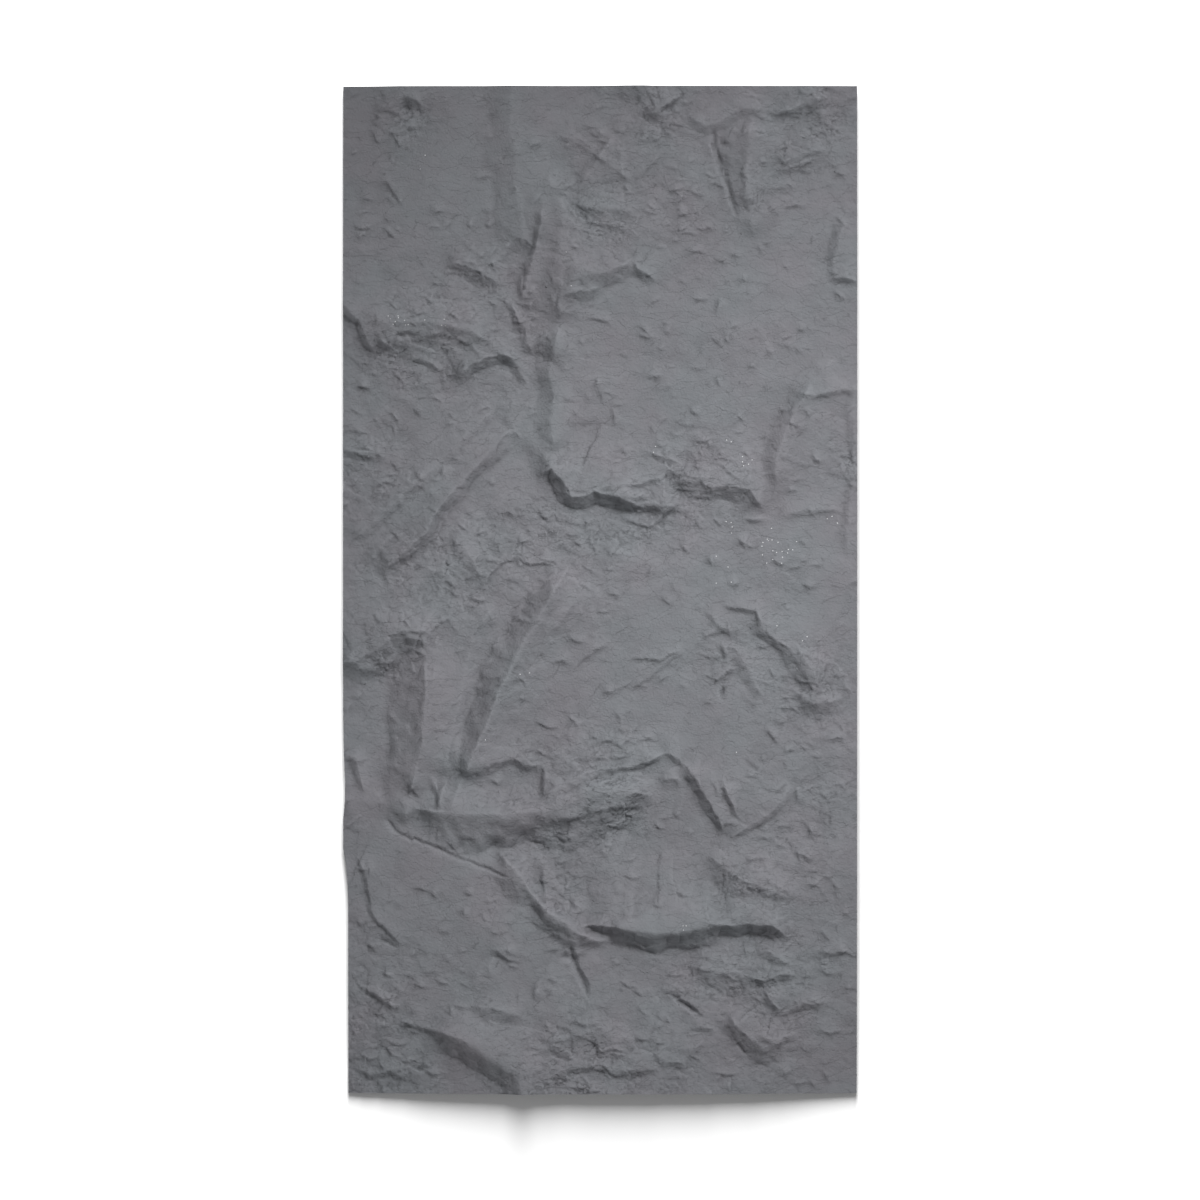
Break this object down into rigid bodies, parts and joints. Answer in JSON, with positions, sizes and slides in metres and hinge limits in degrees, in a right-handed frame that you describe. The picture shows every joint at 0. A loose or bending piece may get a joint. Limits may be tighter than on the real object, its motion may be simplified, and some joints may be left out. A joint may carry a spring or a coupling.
{
  "type": "faux stone wall panel",
  "caption": "Moulded rigid foam wall panel with a rock face of ledges and slabs, a hollow back with a flat rim, and straight edges that butt against the next panel.",
  "frame": {"origin": "centre of the panel's bounding box, at the level of the flat rim of its back", "axes": "+Z out of the rock face, +Y along the panel's length towards its top edge, +X across its width towards the right edge seen from the front"},
  "size_m": [0.6, 1.176, 0.0509],
  "materials": {
    "painted_foam": "matt grey stone paint on rigid polyurethane foam"
  },
  "bodies": {
    "root": {"stone_panel": "painted_foam"}
  },
  "joints": []
}
